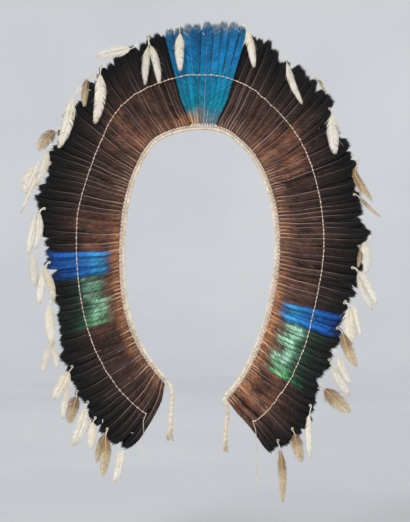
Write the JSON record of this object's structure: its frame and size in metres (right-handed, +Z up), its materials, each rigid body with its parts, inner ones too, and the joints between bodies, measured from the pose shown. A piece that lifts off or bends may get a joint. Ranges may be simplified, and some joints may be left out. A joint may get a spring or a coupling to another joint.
{
  "type": "feathered headdress",
  "caption": "Horseshoe headband of cotton cord with a broad fan of brown, blue and green feathers bound to it, pale feathers hung from the rim and a tie cord at each end.",
  "frame": {"origin": "inner edge of the headband at the middle of its top, where it sits on the head", "axes": "+Z up along the crown's middle feather, -Y out of the fan's front face towards someone who faces the wearer, +X to that person's right"},
  "size_m": [0.5937, 0.0234, 0.7933],
  "materials": {
    "cotton": "matt wound and twisted cotton",
    "thread": "matt twisted cotton thread",
    "brown_feather": "satin barbs, rust quills",
    "blue_feather": "satin barbs, turquoise to royal blue",
    "green_feather": "satin barbs, mint to dark green",
    "cream_feather": "soft downy barbs",
    "tan_feather": "soft downy barbs"
  },
  "bodies": {
    "root": {"feathers_left_end_brown": "brown_feather", "feathers_left_green": "green_feather", "feathers_left_blue": "blue_feather", "feathers_left_brown_3": "brown_feather", "feathers_left_brown_2": "brown_feather", "feathers_left_brown_1": "brown_feather", "feathers_crown_blue": "blue_feather", "feathers_right_brown_1": "brown_feather", "feathers_right_brown_2": "brown_feather", "feathers_right_brown_3": "brown_feather", "feathers_right_brown_4": "brown_feather", "feathers_right_blue": "blue_feather", "feathers_right_green": "green_feather", "feathers_right_end_brown": "brown_feather", "headband_cord": "cotton", "tie_cord_left": "cotton", "tie_cord_right": "cotton", "tie_tassel_left": "cotton", "tie_tassel_right": "cotton", "sewing_thread": "thread", "thread_tail_left": "thread", "thread_tail_right": "thread", "pendant_left_01": "cream_feather", "pendant_left_02": "cream_feather", "pendant_left_03": "cream_feather", "pendant_left_04": "cream_feather", "pendant_left_05": "tan_feather", "pendant_left_06": "cream_feather", "pendant_left_07": "tan_feather", "pendant_left_08": "cream_feather", "pendant_left_09": "cream_feather", "pendant_left_10": "cream_feather", "pendant_left_11": "cream_feather", "pendant_left_12": "cream_feather", "pendant_left_13": "cream_feather", "pendant_left_14": "cream_feather", "pendant_left_15": "cream_feather", "pendant_left_16": "cream_feather", "pendant_left_17": "tan_feather", "pendant_left_18": "cream_feather", "pendant_left_19": "cream_feather", "pendant_left_20": "cream_feather", "pendant_left_21": "cream_feather", "pendant_right_01": "cream_feather", "pendant_right_02": "cream_feather", "pendant_right_03": "tan_feather", "pendant_right_04": "cream_feather", "pendant_right_05": "cream_feather", "pendant_right_06": "tan_feather", "pendant_right_07": "cream_feather", "pendant_right_17": "tan_feather", "pendant_right_08": "cream_feather", "pendant_right_09": "cream_feather", "pendant_right_10": "tan_feather", "pendant_right_11": "cream_feather", "pendant_right_12": "cream_feather", "pendant_right_13": "tan_feather", "pendant_right_14": "cream_feather", "pendant_right_15": "tan_feather", "pendant_right_16": "tan_feather"}
  },
  "joints": []
}
